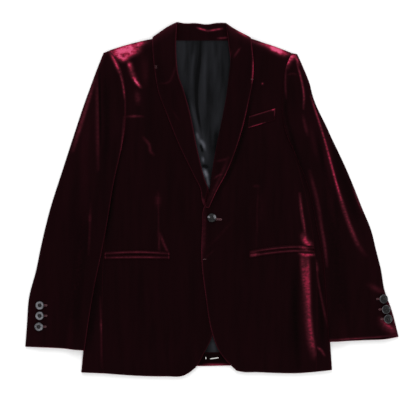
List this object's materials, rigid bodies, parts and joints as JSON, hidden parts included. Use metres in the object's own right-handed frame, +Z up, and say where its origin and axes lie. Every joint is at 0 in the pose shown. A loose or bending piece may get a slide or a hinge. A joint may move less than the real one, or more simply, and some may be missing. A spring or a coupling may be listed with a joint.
{
  "type": "velvet jacket",
  "caption": "Single-breasted velvet dinner jacket with a shawl collar, jetted hip pockets, a breast welt and a satin back lining, laid flat on its back with the left front lapped over.",
  "frame": {"origin": "centre of the bounding box at the floor that the jacket lies on", "axes": "+X to the wearer's left along the width of the laid out sleeves, +Y from the hem to the collar, +Z up from the floor"},
  "size_m": [0.82, 0.7779, 0.0239],
  "materials": {
    "velvet": "cotton velvet, deep wine red, short brushed pile with a crimson sheen",
    "lining_satin": "charcoal satin",
    "button_horn": "dark grey horn effect, satin"
  },
  "bodies": {
    "root": {"front_right": "velvet", "front_left": "velvet", "side_right": "velvet", "side_left": "velvet", "back_right": "velvet", "back_left": "velvet", "back_hem_turnup": "velvet", "lining_back": "lining_satin", "lapel_right": "velvet", "lapel_left": "velvet", "collar_back": "velvet", "sleeve_right_top": "velvet", "sleeve_right_under": "velvet", "sleeve_left_top": "velvet", "sleeve_left_under": "velvet", "pocket_right_upper_welt": "velvet", "pocket_right_lower_welt": "velvet", "pocket_left_upper_welt": "velvet", "pocket_left_lower_welt": "velvet", "breast_pocket_welt": "velvet", "front_button": "button_horn", "cuff_right_button_1": "button_horn", "cuff_right_button_2": "button_horn", "cuff_right_button_3": "button_horn", "cuff_left_button_1": "button_horn", "cuff_left_button_2": "button_horn", "cuff_left_button_3": "button_horn"}
  },
  "joints": []
}
